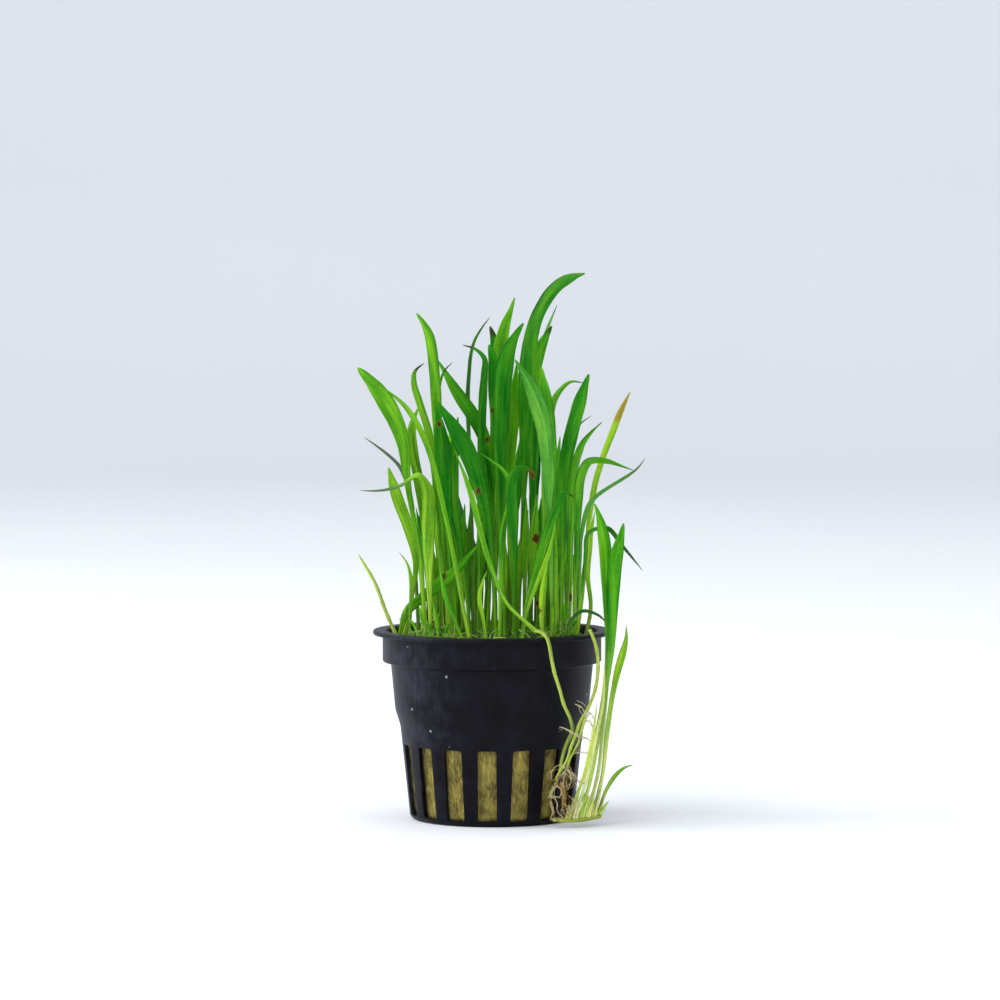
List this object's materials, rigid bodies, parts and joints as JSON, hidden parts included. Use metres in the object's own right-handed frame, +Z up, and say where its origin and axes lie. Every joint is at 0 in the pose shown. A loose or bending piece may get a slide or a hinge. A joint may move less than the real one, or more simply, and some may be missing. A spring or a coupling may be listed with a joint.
{
  "type": "potted aquarium plant",
  "caption": "Potted Lilaeopsis brasiliensis: a tuft of strap leaves in a slotted black net pot with mineral wool, and a daughter plant hanging outside on runners.",
  "frame": {"origin": "centre of the pot's underside", "axes": "+Z up, along the plant, -Y towards the plant's front"},
  "size_m": [0.0656, 0.055, 0.1261],
  "materials": {
    "pot_plastic": "satin",
    "mineral_wool": "matte",
    "leaf_deep": "satin",
    "leaf_mid": "satin",
    "leaf_light": "satin",
    "leaf_young": "satin",
    "runner_pale": "satin",
    "root_tan": "matte"
  },
  "bodies": {
    "root": {"pot": "pot_plastic", "growing_medium": "mineral_wool", "leaf_01": "leaf_light", "leaf_02": "leaf_light", "leaf_03": "leaf_light", "leaf_04": "leaf_mid", "leaf_05": "leaf_deep", "leaf_06": "leaf_mid", "leaf_07": "leaf_light", "leaf_08": "leaf_light", "leaf_09": "leaf_light", "leaf_10": "leaf_deep", "leaf_11": "leaf_young", "leaf_12": "leaf_light", "leaf_13": "leaf_deep", "leaf_14": "leaf_mid", "leaf_15": "leaf_deep", "leaf_16": "leaf_mid", "leaf_17": "leaf_light", "leaf_18": "leaf_mid", "leaf_19": "leaf_deep", "leaf_20": "leaf_mid", "leaf_21": "leaf_deep", "leaf_22": "leaf_deep", "leaf_23": "leaf_mid", "leaf_24": "leaf_mid", "leaf_25": "leaf_light", "leaf_26": "leaf_mid", "leaf_27": "leaf_deep", "leaf_28": "leaf_mid", "leaf_29": "leaf_mid", "leaf_30": "leaf_young", "leaf_31": "leaf_light", "leaf_32": "leaf_deep", "leaf_33": "leaf_deep", "leaf_34": "leaf_young", "leaf_35": "leaf_deep", "leaf_36": "leaf_light", "leaf_37": "leaf_young", "leaf_38": "leaf_mid", "leaf_39": "leaf_young", "leaf_40": "leaf_deep", "leaf_41": "leaf_young", "leaf_42": "leaf_light", "leaf_43": "leaf_deep", "leaf_44": "leaf_deep", "leaf_45": "leaf_deep", "leaf_46": "leaf_light", "shoot_back_left": "leaf_mid", "shoot_back_middle": "leaf_mid", "shoot_back_right": "leaf_mid", "shoot_middle_left": "leaf_light", "shoot_middle_right": "leaf_light", "sprouts_left": "leaf_young", "sprouts_right": "leaf_young", "outside_plantlet": "leaf_light", "runner_front": "runner_pale", "runner_side": "runner_pale", "runner_dead": "root_tan", "roots": "root_tan"}
  },
  "joints": []
}
